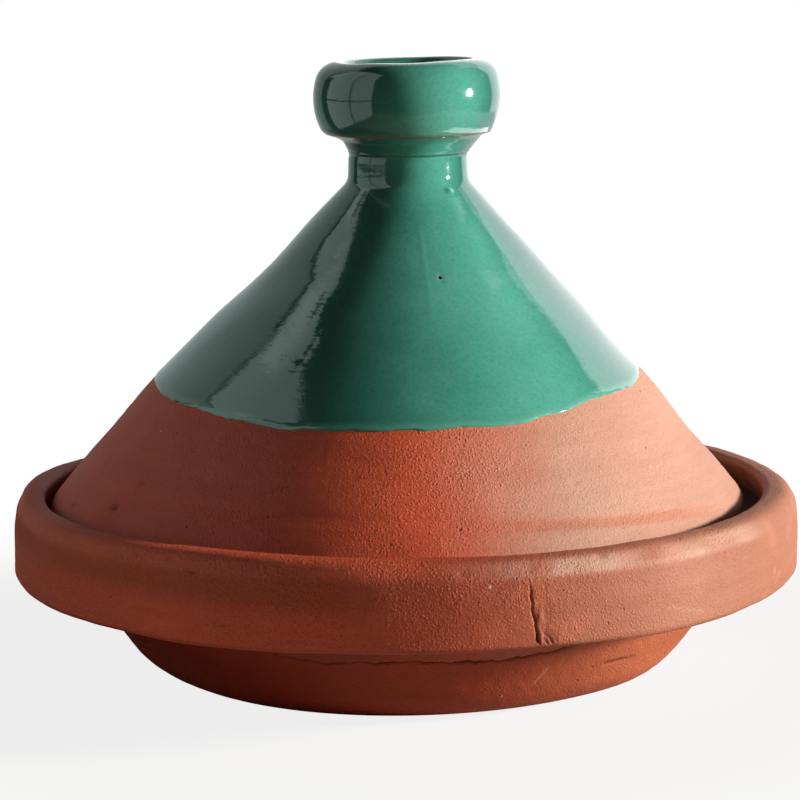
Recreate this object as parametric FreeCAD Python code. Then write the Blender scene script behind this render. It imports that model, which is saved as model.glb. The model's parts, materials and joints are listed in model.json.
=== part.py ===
import FreeCAD, Part
import math
import os

# Tagine: a thrown clay dish with a heavy rim, and a cone-shaped lid that stands in it.
# Millimetres. The origin is the middle of the foot, on the table, and +Z is up.
# Every outline below is half a section: radius from the axis, then height.

os.makedirs("parts", exist_ok=True)

# Rim of the dish, luted round the top of the bowl's wall; all other radii follow from it
rim_r = 135.0
rim_under = 33.8       # height of the overhang's underside
rim_tall = 28.0
rim_wall = 11.5        # clay outside the gallery that the lid stands in
rim_shoulder = 7.0     # outer top round
rim_lip_round = 2.2    # inner top round
rim_corner = 1.8       # lower outer edge
gallery_deep = 9.3
gallery_root = 2.5
ledge_w = 10.0         # the rim's share of the ledge under the lid
grip_up = 0.8          # the rim's upright face starts this far above the overhang
lute_drop = 9.3        # clay of the rim is smeared this far down the wall, to a seam
lute_t = 1.3           # how thick it is there
lute_cove = 5.0

# Bowl of the dish
wall_rise = 54.6       # outside of the wall, degrees up from the table
foot_roll = 26.0       # large round between the foot and the wall
floor_t = 10.0         # clay under the food
mouth_t = 6.5          # the wall's thickness at the mouth
mouth_round = 2.0
pan_wall_rise = 66.0   # the steeper inside of the wall, degrees
pan_round = 28.0       # round between the floor and the inside of the wall

# Lid: cone, from its flat land up to the neck; heights are above the seat
lid_gap = 4.3          # round the lid, between its widest circle and the gallery
lid_edge_round = 4.0
land_w = 9.2           # from the lid's widest circle in to its mouth
land_round = 1.5
skirt_rise = 50.3      # lower part of the cone, degrees up from the land
skirt_t = 8.4
cone_bend = 46.0       # above this the cone leans in a little more
cone_bend_round = 250.0
hollow_bend_up = 7.9   # the hollow bends this far above the outside
hollow_bend_round = 150.0
neck_r = 19.7
neck_top = 123.7
neck_tall = 9.9
neck_flare = 0.4       # the neck is this much wider at its foot
neck_t = 6.7
neck_bore_drop = 5.3   # the bore starts this far below the neck's foot
crown_t = 8.2          # clay between the bore and the neck's top
bore_top_round = 4.5
bore_foot_round = 4.0

# Lid: luting coil under the knob, and the knob, which is a small open cup
stem_inset = 2.2       # the knob's stem inside the coil, in from the neck
coil_tall = 4.5
coil_flare = 4.2       # the coil is this much wider than the neck at its top
coil_waist = 1.5       # and this much half way up, where a finger hollowed it
knob_overhang = 4.2    # from the coil's top out to the knob's sharp lower edge
knob_edge_rise = 2.2   # that edge above the coil
knob_cove = 0.35       # how far the underside is hollowed
knob_swell = 3.3       # widest circle, out from the lower edge
knob_belly_rise = 12.1 # widest circle above the lower edge
knob_top_rise = 23.7   # lip above the lower edge
knob_wall = 8.8        # at the cup's foot
lip_round = 5.8
lip_inner_round = 3.2
cup_floor_t = 3.8      # the cup's floor above the coil
cup_round = 9.0

# Glaze coats
glaze_t = 0.6
dip_height = 44.7      # the green dip line on the axis, above the seat
dip_tilt = 2.0         # the lid was held a little askew in the glaze, degrees
dip_low_side = 244.0   # direction in which the line runs lowest, degrees from +X
lining_drop = 4.0      # clear lining ends this far below the seat

# Radii that follow, from the rim inwards
gallery_r = rim_r - rim_wall
grip_r = gallery_r - ledge_w
pan_mouth_r = grip_r - mouth_t
lid_r = gallery_r - lid_gap
lid_mouth_r = lid_r - land_w
neck_foot_r = neck_r + neck_flare
neck_bore_r = neck_r - neck_t
stem_r = neck_r - stem_inset
coil_r = neck_r + coil_flare
coil_waist_r = neck_r + coil_waist
knob_edge_r = coil_r + knob_overhang
knob_r = knob_edge_r + knob_swell
cup_foot_r = knob_r - knob_wall

# Heights that follow; the dish's are above the table, the lid's above the seat
rim_top = rim_under + rim_tall
seat = rim_top - gallery_deep
grip_foot = rim_under + grip_up
lute_foot = rim_under - lute_drop
neck_foot = neck_top - neck_tall
neck_bore_foot = neck_foot - neck_bore_drop
neck_bore_top = neck_top - crown_t
coil_top = neck_top + coil_tall
knob_edge = coil_top + knob_edge_rise
knob_belly = knob_edge + knob_belly_rise
knob_top = knob_edge + knob_top_rise
cup_floor = coil_top + cup_floor_t


def at(r, z):
    return FreeCAD.Vector(r, 0, z)


def lid_at(r, h):
    return FreeCAD.Vector(r, 0, seat + h)


def line(a, b):
    return Part.makeLine(a, b)


def arc(a, through, b):
    return Part.Arc(a, through, b).toShape()


def turn(centre, radius, start, end):
    # Arc about a centre, angles in degrees up from the outward direction.
    spots = []
    for angle in (start, (start + end) / 2, end):
        a = math.radians(angle)
        spots.append(centre + FreeCAD.Vector(radius * math.cos(a), 0, radius * math.sin(a)))
    return arc(*spots)


def rounded(corners):
    # Edges through (point, round) corners; each inner corner is rounded by a tangent arc.
    edges = []
    here = corners[0][0]
    for i in range(1, len(corners)):
        p, radius = corners[i]
        last = i == len(corners) - 1
        if last or radius == 0:
            if (p - here).Length > 1e-6:
                edges.append(line(here, p))
            here = p
            continue
        back = (corners[i - 1][0] - p).normalize()
        on = (corners[i + 1][0] - p).normalize()
        half = back.getAngle(on) / 2
        reach = radius / math.tan(half)
        middle = (back + on).normalize()
        enter = p + back * reach
        leave = p + on * reach
        crest = p + middle * (radius / math.sin(half) - radius)
        if (enter - here).Length > 1e-6:
            edges.append(line(here, enter))
        edges.append(arc(enter, crest, leave))
        here = leave
    return edges


def spin(edges):
    # Closes a half section and throws it round the axis.
    wire = Part.Wire(Part.__sortEdges__(edges))
    solid = Part.Face(wire).revolve(FreeCAD.Vector(0, 0, 0), FreeCAD.Vector(0, 0, 1), 360)
    return solid.removeSplitter()


def closed(edges):
    # Adds the straight edge from the end of a run of edges back to its start.
    wire = Part.Wire(edges)
    first = wire.OrderedVertexes[0].Point
    last = wire.OrderedVertexes[-1].Point
    return edges + [line(last, first)]


def coat(edges, thick):
    # Thin solid of even thickness laid on an outline; the coated side is the one that stands higher.
    clay = Part.Wire(edges)
    sides = [clay.makeOffset2D(t, 0, False, True) for t in (thick, -thick)]
    skin = max(sides, key=lambda wire: wire.BoundBox.ZMax)
    spots = [v.Point for v in skin.OrderedVertexes]
    ends = []
    for corner in (clay.OrderedVertexes[0].Point, clay.OrderedVertexes[-1].Point):
        nearest = min((spots[0], spots[-1]), key=corner.distanceToPoint)
        ends.append(line(corner, nearest))
    return spin(clay.Edges + skin.Edges + ends)


def wall_r(z):
    # The bowl's outside is one straight slope that ends where the rim's upright face starts.
    return grip_r - (grip_foot - z) / math.tan(math.radians(wall_rise))


# Dish bowl
pan_corner_r = pan_mouth_r - (seat - floor_t) / math.tan(math.radians(pan_wall_rise))
outside = [
    (at(0, 0), 0),
    (at(wall_r(0), 0), foot_roll),
    (at(grip_r, grip_foot), 0),
    (at(grip_r, seat), 0),
]
inside = [
    (at(grip_r, seat), 0),
    (at(pan_mouth_r, seat), mouth_round),
    (at(pan_corner_r, floor_t), pan_round),
    (at(0, floor_t), 0),
]
dish_bowl = spin(closed(rounded(outside) + rounded(inside)))

# Dish rim, with the clay that was smeared down over the join
rim_line = [
    (at(grip_r, grip_foot), 0),
    (at(wall_r(lute_foot), lute_foot), 0),
    (at(wall_r(lute_foot) + lute_t, lute_foot), 0),
    (at(wall_r(rim_under) + lute_t, rim_under), lute_cove),
    (at(rim_r, rim_under), rim_corner),
    (at(rim_r, rim_top), rim_shoulder),
    (at(gallery_r, rim_top), rim_lip_round),
    (at(gallery_r, seat), gallery_root),
    (at(grip_r, seat), 0),
]
dish_rim = spin(closed(rounded(rim_line)))

# Clear lining of the dish, from below the seat to the middle of the floor
lining_top = seat - lining_drop
lining_r = pan_mouth_r - lining_drop / math.tan(math.radians(pan_wall_rise))
pan_line = [
    (at(lining_r, lining_top), 0),
    (at(pan_corner_r, floor_t), pan_round),
    (at(0, floor_t), 0),
]
dish_glaze = coat(rounded(pan_line), glaze_t)

# Lid cone: two straight leans with a slow bend, a rounded edge below and the neck above
skirt = math.radians(skirt_rise)
edge_reach = lid_edge_round / math.tan(skirt / 2)
edge_corner = lid_at(lid_r + edge_reach - lid_edge_round, 0)
skirt_way = FreeCAD.Vector(-math.cos(skirt), 0, math.sin(skirt))
skirt_start = edge_corner + skirt_way * edge_reach
bend = edge_corner + skirt_way * (cone_bend / math.sin(skirt))
hollow_bend = cone_bend + hollow_bend_up
hollow_bend_r = edge_corner.x - hollow_bend / math.tan(skirt) - skirt_t / math.sin(skirt)
neck_end = lid_at(neck_r, neck_top)
cone_line = rounded([
    (skirt_start, 0),
    (bend, cone_bend_round),
    (lid_at(neck_foot_r, neck_foot), 0),
    (neck_end, 0),
])
hollow_line = rounded([
    (lid_at(0, neck_bore_top), 0),
    (lid_at(neck_bore_r, neck_bore_top), bore_top_round),
    (lid_at(neck_bore_r, neck_bore_foot), bore_foot_round),
    (lid_at(hollow_bend_r, hollow_bend), hollow_bend_round),
    (lid_at(lid_mouth_r, lid_edge_round), lid_edge_round),
    (lid_at(lid_mouth_r, 0), land_round),
    (edge_corner, lid_edge_round),
    (skirt_start, 0),
])
core = [line(neck_end, lid_at(0, neck_top)), line(lid_at(0, neck_top), lid_at(0, neck_bore_top))]
lid_cone = spin(hollow_line + cone_line + core)

# Luting coil: a ring round the knob's stem, hollow-flanked where a finger smoothed it
coil_line = arc(neck_end, lid_at(coil_waist_r, neck_top + coil_tall / 2), lid_at(coil_r, coil_top))
coil_back = [lid_at(coil_r, coil_top), lid_at(stem_r, coil_top), lid_at(stem_r, neck_top), neck_end]
lid_collar = spin([coil_line] + [line(a, b) for a, b in zip(coil_back, coil_back[1:])])

# Knob: underside, swelling side, rolled lip and the inside of the cup
under_mid = (lid_at(coil_r, coil_top) + lid_at(knob_edge_r, knob_edge)) * 0.5
under_mid = under_mid + FreeCAD.Vector(-knob_cove / 2, 0, knob_cove)
knob_under = arc(lid_at(coil_r, coil_top), under_mid, lid_at(knob_edge_r, knob_edge))
inset = knob_r - knob_edge_r
side_round = (inset ** 2 + knob_belly_rise ** 2) / (2 * inset)
side_centre = lid_at(knob_r - side_round, knob_belly)
side_start = -math.degrees(math.asin(knob_belly_rise / side_round))
lip_climb = knob_top - lip_round - knob_belly
side_end = math.degrees(math.asin(lip_climb / (side_round - lip_round)))
knob_side = turn(side_centre, side_round, side_start, side_end)
lip_r = knob_r - side_round + (side_round - lip_round) * math.cos(math.radians(side_end))
lip_out = turn(lid_at(lip_r, knob_top - lip_round), lip_round, side_end, 90)
lip_in = turn(lid_at(lip_r, knob_top - lip_inner_round), lip_inner_round, 90, 180)
cup_mouth = lid_at(lip_r - lip_inner_round, knob_top - lip_inner_round)
cup = rounded([(cup_mouth, 0), (lid_at(cup_foot_r, cup_floor), cup_round), (lid_at(0, cup_floor), 0)])
knob_line = [knob_under, knob_side, lip_out, lip_in] + cup
stem = [lid_at(0, cup_floor), lid_at(0, neck_top), lid_at(stem_r, neck_top)]
stem += [lid_at(stem_r, coil_top), lid_at(coil_r, coil_top)]
lid_knob = spin(knob_line + [line(a, b) for a, b in zip(stem, stem[1:])])

# Green glaze: an even coat on the whole outer line, kept only above the tilted dip line
green = coat(cone_line + [coil_line] + knob_line, glaze_t)
bath_half = 2 * rim_r
bath_corner = FreeCAD.Vector(-bath_half, -bath_half, -bath_half)
bath = Part.makeBox(2 * bath_half, 2 * bath_half, bath_half, bath_corner)
low = math.radians(dip_low_side)
hinge = FreeCAD.Vector(-math.sin(low), math.cos(low), 0)
bath.rotate(FreeCAD.Vector(0, 0, 0), hinge, dip_tilt)
bath.translate(lid_at(0, dip_height))
lid_glaze = green.cut(bath)

nodes = {
    "dish_bowl": dish_bowl,
    "dish_rim": dish_rim,
    "dish_glaze": dish_glaze,
    "lid_cone": lid_cone,
    "lid_collar": lid_collar,
    "lid_knob": lid_knob,
    "lid_glaze": lid_glaze,
}
for name, shape in nodes.items():
    solid = shape.Solids[0]
    solid.exportStep("parts/" + name + ".step")
    box = solid.BoundBox
    print(name, len(shape.Solids), solid.isValid(), round(solid.Volume / 1000, 1), "cm3",
          [round(v, 2) for v in (box.XMin, box.XMax, box.ZMin, box.ZMax)])
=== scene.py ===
# %% [markdown]
# # Dressing a clay tagine
# A tagine is a cooking pot in two thrown pieces: a shallow dish with a heavy rim, and a cone
# lid that stands in the rim and is lifted by its cup-shaped knob. The solids of the pot come
# ready-made in a frame. In this lesson each of them gets a finished skin: clay with the marks
# of the wheel, a honey lining, and a green coat that was dipped and left to run.

# %% Load the frame
import json
import math
import bpy
import numpy as np
from mathutils import Matrix, Vector

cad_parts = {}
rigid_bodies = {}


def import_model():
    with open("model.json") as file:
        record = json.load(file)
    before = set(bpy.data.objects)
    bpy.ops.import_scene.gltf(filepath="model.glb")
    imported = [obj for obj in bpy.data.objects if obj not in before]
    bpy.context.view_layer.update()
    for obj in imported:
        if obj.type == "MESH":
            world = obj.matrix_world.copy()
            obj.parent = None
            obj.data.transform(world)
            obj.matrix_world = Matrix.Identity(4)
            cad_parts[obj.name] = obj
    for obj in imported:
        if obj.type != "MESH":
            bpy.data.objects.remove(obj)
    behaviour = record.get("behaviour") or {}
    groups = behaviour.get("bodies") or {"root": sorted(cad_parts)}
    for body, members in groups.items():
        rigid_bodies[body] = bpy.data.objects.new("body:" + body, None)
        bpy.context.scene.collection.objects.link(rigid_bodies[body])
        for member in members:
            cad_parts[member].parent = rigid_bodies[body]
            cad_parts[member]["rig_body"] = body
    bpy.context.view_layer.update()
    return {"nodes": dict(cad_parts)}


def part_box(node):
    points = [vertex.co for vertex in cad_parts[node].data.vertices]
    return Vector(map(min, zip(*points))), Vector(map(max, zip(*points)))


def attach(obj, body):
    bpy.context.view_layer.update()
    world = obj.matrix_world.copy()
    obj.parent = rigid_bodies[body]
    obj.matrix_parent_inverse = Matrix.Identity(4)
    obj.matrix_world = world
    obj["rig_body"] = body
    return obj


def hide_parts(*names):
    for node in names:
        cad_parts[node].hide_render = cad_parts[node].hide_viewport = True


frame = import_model()

# %% [markdown]
# ## The camera
# A portrait lens far away keeps the ellipses of the rim flat. It could be placed by eye, but
# the pot is round, so its outline tells the height, the tilt and the lens length. The camera
# leans a trifle to one side, as a hand-levelled one does.

# %% Camera
camera_place = (-0.0014, -1.0, 0.2515)
camera_tilt = math.radians(9.145)
camera_roll = math.radians(-0.556)
lens = bpy.data.cameras.new("portrait lens")
lens.sensor_width = 36
lens.lens = 132.1
camera = bpy.data.objects.new("camera", lens)
bpy.context.scene.collection.objects.link(camera)
camera.matrix_world = (
    Matrix.Translation(camera_place)
    @ Matrix.Rotation(math.pi / 2 - camera_tilt, 4, "X")
    @ Matrix.Rotation(camera_roll, 4, "Z")
)
bpy.context.scene.camera = camera
print("camera looks down by", round(math.degrees(camera_tilt), 2), "degrees")

# %% [markdown]
# ## Sizes from the frame
# A potter thinks in millimetres, so the outlines below are in millimetres too, and only the
# finished mesh is turned into metres. The large sizes are read from the frame's own boxes, so
# the skins always lie on the solids that carry them.

# %% Sizes from the frame
MM = 0.001


def low(node):
    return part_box(node)[0][2] / MM


def high(node):
    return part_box(node)[1][2] / MM


def reach(node):
    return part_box(node)[1][0] / MM


rim_r = reach("dish_rim")
rim_top = high("dish_rim")
seam_z = low("dish_rim")
seat = high("dish_bowl")
pan_floor = low("dish_glaze")
lid_r = reach("lid_cone")
neck_top = high("lid_cone")
coil_top = high("lid_collar")
lip_top = high("lid_knob")
glaze_t = high("lid_glaze") - lip_top
print("rim radius", round(rim_r, 1), "seat", round(seat, 1), "lip", round(lip_top, 1), "mm")

# %% [markdown]
# ## Outlines and throwing
# Everything on the wheel is a half section turned round one axis. Blender's Spin or Screw
# tools would do that, but clay needs a grid that can still be pushed about afterwards, so the
# section is thrown into a plain array of points: one row for each point of the outline and
# one column for each step round the wheel.

# %% Straight runs and arcs
FINE = 0.15  # millimetres between the points of a raw outline


def unit(v):
    return v / np.linalg.norm(v)


def straight(a, b):
    count = max(1, math.ceil(np.linalg.norm(b - a) / FINE))
    return [a + (b - a) * k / count for k in range(1, count + 1)]


def sweep(centre, start, turn):
    """Points of an arc about a centre, from a first arm turned by an angle."""
    radius = np.linalg.norm(start)
    first = math.atan2(start[1], start[0])
    count = max(4, math.ceil(abs(turn) * radius / FINE))
    angles = first + turn * np.arange(1, count + 1) / count
    return [centre + radius * np.array((math.cos(t), math.sin(t))) for t in angles]


def turn_between(a, b):
    return math.atan2(a[0] * b[1] - a[1] * b[0], a @ b)


# %% Outline with rounded corners
def outline(corners):
    """Points along a half section of (radius, height, round) corners."""
    spots = [np.array(c[:2], float) for c in corners]
    path = [spots[0]]
    for i in range(1, len(corners)):
        bend = corners[i][2]
        if bend == 0:
            path += straight(path[-1], spots[i])
            continue
        back = unit(spots[i - 1] - spots[i])
        on = unit(spots[i + 1] - spots[i])
        half = math.acos(np.clip(back @ on, -1, 1)) / 2
        centre = spots[i] + unit(back + on) * bend / math.sin(half)
        enter = spots[i] + back * bend / math.tan(half)
        leave = spots[i] + on * bend / math.tan(half)
        path += straight(path[-1], enter)
        path += sweep(centre, enter - centre, turn_between(enter - centre, leave - centre))
    return np.array(path)


def bow(a, through, b):
    """Points of the arc from a to b by way of a middle point."""
    a, through, b = (np.array(p, float) for p in (a, through, b))
    rows = 2 * np.array((through - a, b - a))
    centre = np.linalg.solve(rows, (through @ through - a @ a, b @ b - a @ a))
    return np.array([a] + sweep(centre, a - centre, turn_between(a - centre, b - centre)))


# %% Spacing of the rows
def spaced(path, spacing):
    """Keeps the points of a raw outline that its corners and a spacing rule ask for."""
    steps = np.diff(path, axis=0)
    length = np.concatenate([[0], np.cumsum(np.linalg.norm(steps, axis=1))])
    heading = np.unwrap(np.arctan2(steps[:, 1], steps[:, 0]))
    keep = [0]
    for i in range(1, len(steps)):
        gone = length[i] - length[keep[-1]]
        turned = abs(heading[i] - heading[keep[-1]])
        if gone >= spacing(*path[i]) or (turned > 0.2 and gone > FINE):
            keep.append(i)
    return path[keep + [len(path) - 1]]


# %% Throwing an outline round the axis
def wheel(count):
    return np.linspace(-math.pi, math.pi, count, endpoint=False)


def outward_of(section):
    way = np.gradient(section, axis=0)
    way /= np.linalg.norm(way, axis=1, keepdims=True)
    return np.stack([way[:, 1], -way[:, 0]], axis=1)


def spun(r, z, angles):
    """Points of a grid from radii and heights, one row each, or one value each."""
    r, z, angles = np.broadcast_arrays(r, z, angles)
    return np.stack([r * np.cos(angles), r * np.sin(angles), z], axis=-1)


def thrown(section, angles):
    """Grid of clay points, and the outward direction at each, from a half section."""
    out = outward_of(section)
    points = spun(section[:, :1], section[:, 1:], angles[None])
    return points, spun(out[:, :1], out[:, 1:], angles[None])


# %% [markdown]
# A grid becomes a mesh by joining neighbours into four-sided faces. A ring closes on itself.
# Any other section starts and ends on the axis, where its row shrinks to one point. The mesh
# also gets a UV map, once round and once along the section, and keeps named values for the
# materials. Each mesh then stands for one solid of the frame and moves with that solid's body.

# %% Faces of a grid
def face_bands(rows, columns, ring):
    """Point numbers and UV places of a grid's faces, in bands with as many corners each."""
    number = np.arange(rows * columns).reshape(rows, columns)
    if not ring:
        number += 1 - columns
        number[0] = 0
        number[-1] = number[-2, -1] + 1
    upper = np.roll(number, -1, axis=0) if ring else number[1:]
    lower = number[: len(upper)]
    corner = np.stack([lower, np.roll(lower, -1, 1), np.roll(upper, -1, 1), upper], axis=-1)
    u = np.arange(columns + 1) / columns
    v = np.arange(len(upper) + 1) / len(upper)
    left, foot = np.meshgrid(u[:-1], v[:-1])
    right, head = np.meshgrid(u[1:], v[1:])
    place = np.stack([left, foot, right, foot, right, head, left, head], axis=-1)
    place = place.reshape(len(upper), columns, 4, 2)
    if ring:
        return [(corner, place)]
    first, last = [0, 2, 3], [0, 1, 2]
    return [
        (corner[:1, :, first], place[:1, :, first]),
        (corner[1:-1], place[1:-1]),
        (corner[-1:, :, last], place[-1:, :, last]),
    ]


# %% From points to a mesh
def fired(name, points, ring=False, marks=None):
    """Smooth mesh from a grid of points. A ring's last row joins its first; else both ends
    lie on the axis and close to a point. Marks are named values kept on the mesh."""
    rows, columns = points.shape[:2]

    def listed(grid):
        if ring:
            return grid.reshape(rows * columns, -1)
        middle = grid[1:-1].reshape((rows - 2) * columns, -1)
        ends = [grid[end].mean(axis=0).reshape(1, -1) for end in (0, -1)]
        return np.concatenate([ends[0], middle, ends[1]])

    bands = face_bands(rows, columns, ring)
    faces = [face for c, _ in bands for face in c.reshape(-1, c.shape[2]).tolist()]
    mesh = bpy.data.meshes.new(name)
    mesh.from_pydata((listed(points) * MM).tolist(), [], faces)
    uv = np.concatenate([p.reshape(-1) for _, p in bands])
    mesh.uv_layers.new(name="OFBake").data.foreach_set("uv", uv)
    for key, value in (marks or {}).items():
        spots = np.ascontiguousarray(listed(np.broadcast_to(value, (rows, columns))).ravel())
        mesh.attributes.new(key, "FLOAT", "POINT").data.foreach_set("value", spots)
    mesh.shade_smooth()
    piece = bpy.data.objects.new(name, mesh)
    bpy.context.scene.collection.objects.link(piece)
    print(name, len(faces), "faces")
    return piece


def seated(piece, node):
    """Lets a skin stand for its node, ride with the node's body and hide the node."""
    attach(piece, frame["nodes"][node]["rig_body"])
    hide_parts(node)


# %% [markdown]
# ## Marks in the clay
# Hand-thrown clay is never quite round or smooth. Sculpting would do, but marks that are
# written down can be moved and counted. The hills here are sums of a few dozen plane waves
# in random directions, which look alike in every direction and need no texture. A mark that
# the potter or the kiln left has a place: a bearing round the pot, in degrees to the right
# of the front, and a height in millimetres.

# %% Hills, steps and bells
def hills(points, size, seed, waves=32):
    """Smooth random hills about `size` millimetres across and about 1 high."""
    dice = np.random.default_rng(seed)
    way = dice.normal(size=(waves, 3))
    way /= np.linalg.norm(way, axis=1, keepdims=True)
    way *= (2 * math.pi / size) * dice.uniform(0.7, 1.3, (waves, 1))
    shift = dice.uniform(0, 2 * math.pi, waves)
    total = sum(np.cos(points @ w + s) for w, s in zip(way, shift))
    return total / math.sqrt(waves / 2)


def smooth(value, start, end):
    """Soft step from 0 at the start to 1 at the end."""
    t = np.clip((value - start) / (end - start), 0, 1)
    return t * t * (3 - 2 * t)


def bell(value, middle, width):
    """1 at the middle, falling to almost nothing at two widths from it."""
    return np.exp(-(((value - middle) / width) ** 2))


# %% Places on the pot
def off_axis(points):
    """Millimetres from the pot's axis."""
    return np.hypot(points[..., 0], points[..., 1])


def bearing_of(points):
    angle = np.degrees(np.arctan2(points[..., 1], points[..., 0])) + 90
    return (angle + 180) % 360 - 180


def aside(points, bearing):
    """Millimetres along the surface to the right of a bearing."""
    off = (bearing_of(points) - bearing + 180) % 360 - 180
    return np.radians(off) * off_axis(points)


# %% Dents and scratches
def dent(points, bearing, height, wide, tall):
    """1 in the middle of a soft oval spot, falling to 0 around it."""
    x = aside(points, bearing) / wide
    z = (points[..., 2] - height) / tall
    return np.exp(-4 * (x * x + z * z))


def dents(points, places):
    """Oval spots added up, each with its bearing, height, width, tallness and depth."""
    return sum(depth * dent(points, *spot) for *spot, depth in places)


def scratch(points, start, end, width):
    """1 along the straight scratch between two (bearing, height) places, 0 beside it."""
    x = aside(points, start[0])
    z = points[..., 2] - start[1]
    run_x = np.radians(end[0] - start[0]) * off_axis(points)
    run_z = end[1] - start[1]
    t = np.clip((x * run_x + z * run_z) / (run_x ** 2 + run_z ** 2), 0, 1)
    return np.exp(-((x - t * run_x) ** 2 + (z - t * run_z) ** 2) / width ** 2)


def scratches(points, runs):
    """Straight scratches added up, each with its two ends and its width."""
    return sum(scratch(points, *run) for run in runs)


# %% [markdown]
# ## The bowl
# The bowl stands on a flat foot that rolls into a straight wall. A Subdivision Surface over a
# coarse lathe shape would do for a smooth bowl, but here the wall carries drying cracks below
# the rim, so the rows lie close where the wall shows and wide where the table hides it.

# %% Bowl outline
wall_lean = math.tan(math.radians(54.6))
grip_r = rim_r - 21.5
grip_z = 34.6
foot_roll = 26.0
pan_mouth_r = grip_r - 6.5
pan_lean = math.tan(math.radians(66))
pan_corner_r = pan_mouth_r - (seat - pan_floor) / pan_lean
pan_round = 28.0
seat_round = 2.0


def wall_r(z):
    return grip_r - (grip_z - z) / wall_lean


bowl_line = outline([
    (0, 0, 0),
    (wall_r(0), 0, foot_roll),
    (grip_r, grip_z, 0),
    (grip_r, seat, 0),
    (pan_mouth_r, seat, seat_round),
    (pan_corner_r, pan_floor, pan_round),
    (0, pan_floor, 0),
])
print("bowl outline of", len(bowl_line), "points, wall meets the table at", round(wall_r(0), 1), "mm")

# %% Rows and columns
unseen_r = 70.0  # the foot's flat lies on the table up to here
wall_depth = 12.0
seam_near = 3.5
wide_row, wall_row, seam_row = 2.6, 0.8, 0.35  # millimetres between rows


def bowl_spacing(r, z):
    if r < unseen_r or r < wall_r(z) - wall_depth or z > grip_z:
        return wide_row
    return seam_row if abs(z - seam_z) < seam_near else wall_row


def columns(from_bearing, to_bearing, fine, coarse):
    """Wheel columns, in radians: close together between two bearings, wide elsewhere."""
    wide = np.arange(-180, 180, coarse)
    wide = wide[(wide < from_bearing - coarse / 2) | (wide > to_bearing + coarse / 2)]
    close = np.arange(from_bearing, to_bearing, fine)
    return np.radians(np.sort(np.concatenate([wide, close])) - 90)


bowl_grid, bowl_out = thrown(spaced(bowl_line, bowl_spacing), columns(-28, 52, 0.3, 0.9))
print("bowl rows and columns", bowl_grid.shape[:2])

# %% [markdown]
# The rim was luted on: a coil of soft clay smeared down over the wall with a wet thumb. The
# smear shrank as it dried, and its lower edge came away here and there in a ragged crack.
# Both the bowl and the rim follow this one edge, so that the crack stays a crack. Where the
# edge is closed it climbs out of sight under the overhang.

# %% The ragged edge of the smeared clay
open_runs = [(-24.0, 31.0), (96.0, 141.0), (-163.0, -118.0)]  # bearings of the open cracks
closed_climb = 2.0


def crack_open(bearing, ramp=5):
    """1 where the smeared edge stands away from the wall, 0 where it is closed."""
    total = 0 * bearing
    for start, end in open_runs:
        run = smooth(bearing, start, start + ramp) * smooth(bearing, end, end - ramp)
        total = np.maximum(total, run)
    return total


def seam_height(bearing):
    """Height of the smeared edge; a sum of waves that come round to the same value."""
    turn = np.radians(bearing)
    slow = 0.5 * np.sin(5 * turn + 0.8) + 0.45 * np.sin(11 * turn + 2.1)
    quick = 0.24 * np.sin(37 * turn + 1.0) + 0.2 * np.sin(83 * turn) + 0.14 * np.sin(171 * turn + 2)
    return seam_z - 0.3 + slow + quick + closed_climb * (1 - crack_open(bearing, 14))


# %% [markdown]
# All that shapes the wall is added up in `push`, in millimetres along the outward direction:
# first the hand's slow unevenness, a fuller foot in front and the rings that fingers left in
# the pan, then the crack, a few short splits and a scratch. These marks also leave named
# values on the mesh: painted shade in the cracks, and paler clay in the scratch.

# %% The bowl's uneven wall
bowl_bearing = bearing_of(bowl_grid)
bowl_height = bowl_grid[..., 2].copy()
bowl_up = bowl_out[..., 2]
off_table = smooth(bowl_height, 0, 6)
outside = smooth(bowl_up, 0.05, -0.1)
inside = np.clip(smooth(bowl_up, 0.02, 0.3) + (bowl_up > 0.9), 0, 1)
foot_swell = 1.3 * bell(bowl_bearing, -24, 38) - 0.4
foot_swell += 0.7 * bell(bowl_bearing, 56, 14)
push = off_table * (0.22 * hills(bowl_grid, 70, 11) + 0.03 * hills(bowl_grid, 5, 12))
push += foot_swell * outside * bell(bowl_height, 6, 5.5)
push += 0.12 * inside * np.sin(1.1 * off_axis(bowl_grid))
print("bowl wall off by", push.min().round(2), "to", push.max().round(2), "mm")

# %% The bowl's crack, split and scratch
outer_wall = (bowl_up < -0.3) & (bowl_height > 3)
above_edge = bowl_height - seam_height(bowl_bearing)
opened = crack_open(bowl_bearing)
gap_tall = opened * (0.4 + 0.25 * np.clip(hills(bowl_grid, 14, 15) + 0.4, -0.6, 1.4))
gap = opened * bell(np.maximum(-above_edge - gap_tall, 0), 0, 0.5)
gap *= smooth(above_edge, 4, 2) * outer_wall
bowl_splits = [  # both ends, as bearing and height, and the width
    ((37.4, 17.3), (42, 16.6), 0.27),
    ((42, 16.6), (46.6, 16.5), 0.27),
    ((-71, 16.5), (-58, 18.4), 0.5),
    ((171, 14), (183, 16), 0.5),
]
split = scratches(bowl_grid, bowl_splits) * outer_wall * (0.75 + 0.3 * hills(bowl_grid, 4, 14))
scrape = scratch(bowl_grid, (23.6, 12.4), (25.6, 18.7), 0.45) * outer_wall
push -= 0.9 * gap + 0.8 * split + 0.06 * scrape

# %% Bowl mesh
aside_below = 0.7  # millimetres to the right by which the lower bowl is off the axis
bowl_grid[..., 0] += aside_below * outside * smooth(bowl_height, 27, 18)
bowl_grid += bowl_out * push[..., None]
bowl_grid[..., 2] = np.maximum(bowl_grid[..., 2], 0)
# Painted shade in the open crack and the splits; the scratch is paler clay.
bowl_marks = {"painted_shade": np.clip(1.4 * gap + 1.8 * split, 0, 1), "sheen_and_scratch": 0.35 * scrape}
dish_bowl = fired("dish_bowl_clay", bowl_grid, marks=bowl_marks)
seated(dish_bowl, "dish_bowl")

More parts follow.
